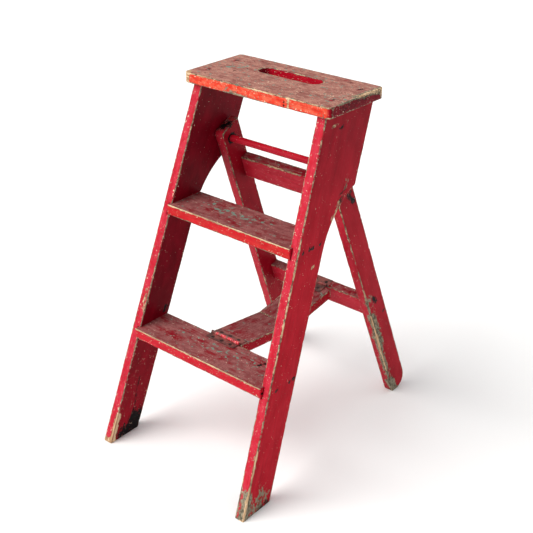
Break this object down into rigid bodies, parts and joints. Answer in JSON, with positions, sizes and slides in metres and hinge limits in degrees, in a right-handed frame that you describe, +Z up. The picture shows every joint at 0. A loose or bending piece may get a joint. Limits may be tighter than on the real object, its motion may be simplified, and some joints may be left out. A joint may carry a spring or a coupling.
{
  "type": "folding step stool",
  "caption": "Folding wooden step stool: a front frame with treads and a top board with a hand slot, a swinging rear frame and a hinged folding stay.",
  "frame": {"origin": "on the floor, midway between the front and rear feet of the open stool, in its middle plane", "axes": "+Z up, -Y towards a person facing the treads, +X to that person's right"},
  "size_m": [0.341, 0.5067, 0.645],
  "materials": {
    "red_paint": "worn brushed red paint over bare wood",
    "painted_hinge": "worn red paint over steel",
    "nail_iron": "dull, darkened"
  },
  "bodies": {
    "front_frame": {"front_hinge_pin": "painted_hinge", "front_hinge_step_plate": "painted_hinge", "front_hinge_step_screw_1": "painted_hinge", "front_hinge_step_screw_2": "painted_hinge", "front_hinge_step_screw_3": "painted_hinge", "lower_tread": "red_paint", "lower_tread_left_nail_1": "nail_iron", "lower_tread_left_nail_2": "nail_iron", "lower_tread_left_nail_3": "nail_iron", "lower_tread_right_nail_1": "nail_iron", "lower_tread_right_nail_2": "nail_iron", "lower_tread_right_nail_3": "nail_iron", "middle_tread": "red_paint", "middle_tread_left_nail_1": "nail_iron", "middle_tread_left_nail_2": "nail_iron", "middle_tread_left_nail_3": "nail_iron", "middle_tread_left_nail_4": "nail_iron", "middle_tread_right_nail_1": "nail_iron", "middle_tread_right_nail_2": "nail_iron", "middle_tread_right_nail_3": "nail_iron", "middle_tread_right_nail_4": "nail_iron", "pivot_rod": "red_paint", "stile_left": "red_paint", "stile_right": "red_paint", "top_board": "red_paint", "top_left_nail_1": "nail_iron", "top_left_nail_2": "nail_iron", "top_right_nail_1": "nail_iron", "top_right_nail_2": "nail_iron"},
    "rear_frame": {"lower_rail": "red_paint", "lower_rail_left_nail_1": "nail_iron", "lower_rail_right_nail_1": "nail_iron", "rear_hinge_rail_plate": "painted_hinge", "rear_hinge_rail_screw_1": "painted_hinge", "rear_hinge_rail_screw_2": "painted_hinge", "rear_leg_left": "red_paint", "rear_leg_right": "red_paint", "upper_rail": "red_paint", "upper_rail_left_nail_1": "nail_iron", "upper_rail_left_nail_2": "nail_iron", "upper_rail_right_nail_1": "nail_iron", "upper_rail_right_nail_2": "nail_iron"},
    "stay_front": {"front_hinge_stay_plate": "painted_hinge", "front_hinge_stay_screw_1": "painted_hinge", "front_hinge_stay_screw_2": "painted_hinge", "front_hinge_stay_screw_3": "painted_hinge", "middle_hinge_front_plate": "painted_hinge", "middle_hinge_front_screw_1": "painted_hinge", "middle_hinge_front_screw_2": "painted_hinge", "middle_hinge_pin": "painted_hinge", "stay_front_board": "red_paint"},
    "stay_rear": {"middle_hinge_rear_plate": "painted_hinge", "middle_hinge_rear_screw_1": "painted_hinge", "middle_hinge_rear_screw_2": "painted_hinge", "rear_hinge_pin": "painted_hinge", "rear_hinge_stay_plate": "painted_hinge", "rear_hinge_stay_screw_1": "painted_hinge", "rear_hinge_stay_screw_2": "painted_hinge", "stay_rear_board": "red_paint"}
  },
  "joints": [
    {"name": "rear_frame_fold", "type": "hinge", "parent": "front_frame", "child": "rear_frame", "pos_m": [0, 0.0381, 0.52], "axis": [-1, 0, 0], "range_deg": [0, 39]},
    {"name": "stay_front_fold", "type": "hinge", "parent": "front_frame", "child": "stay_front", "pos_m": [0, -0.103, 0.2177], "axis": [1, 0, 0], "range_deg": [0, 94.5]},
    {"name": "stay_middle_fold", "type": "hinge", "parent": "stay_front", "child": "stay_rear", "pos_m": [0, 0.02925, 0.17568], "axis": [-1, 0, 0], "range_deg": [0, 197.4]}
  ],
  "couplings": [
    {"joint": "stay_front_fold", "follows": "rear_frame_fold", "ratio": 2.4223},
    {"joint": "stay_middle_fold", "follows": "rear_frame_fold", "ratio": 5.0597}
  ]
}
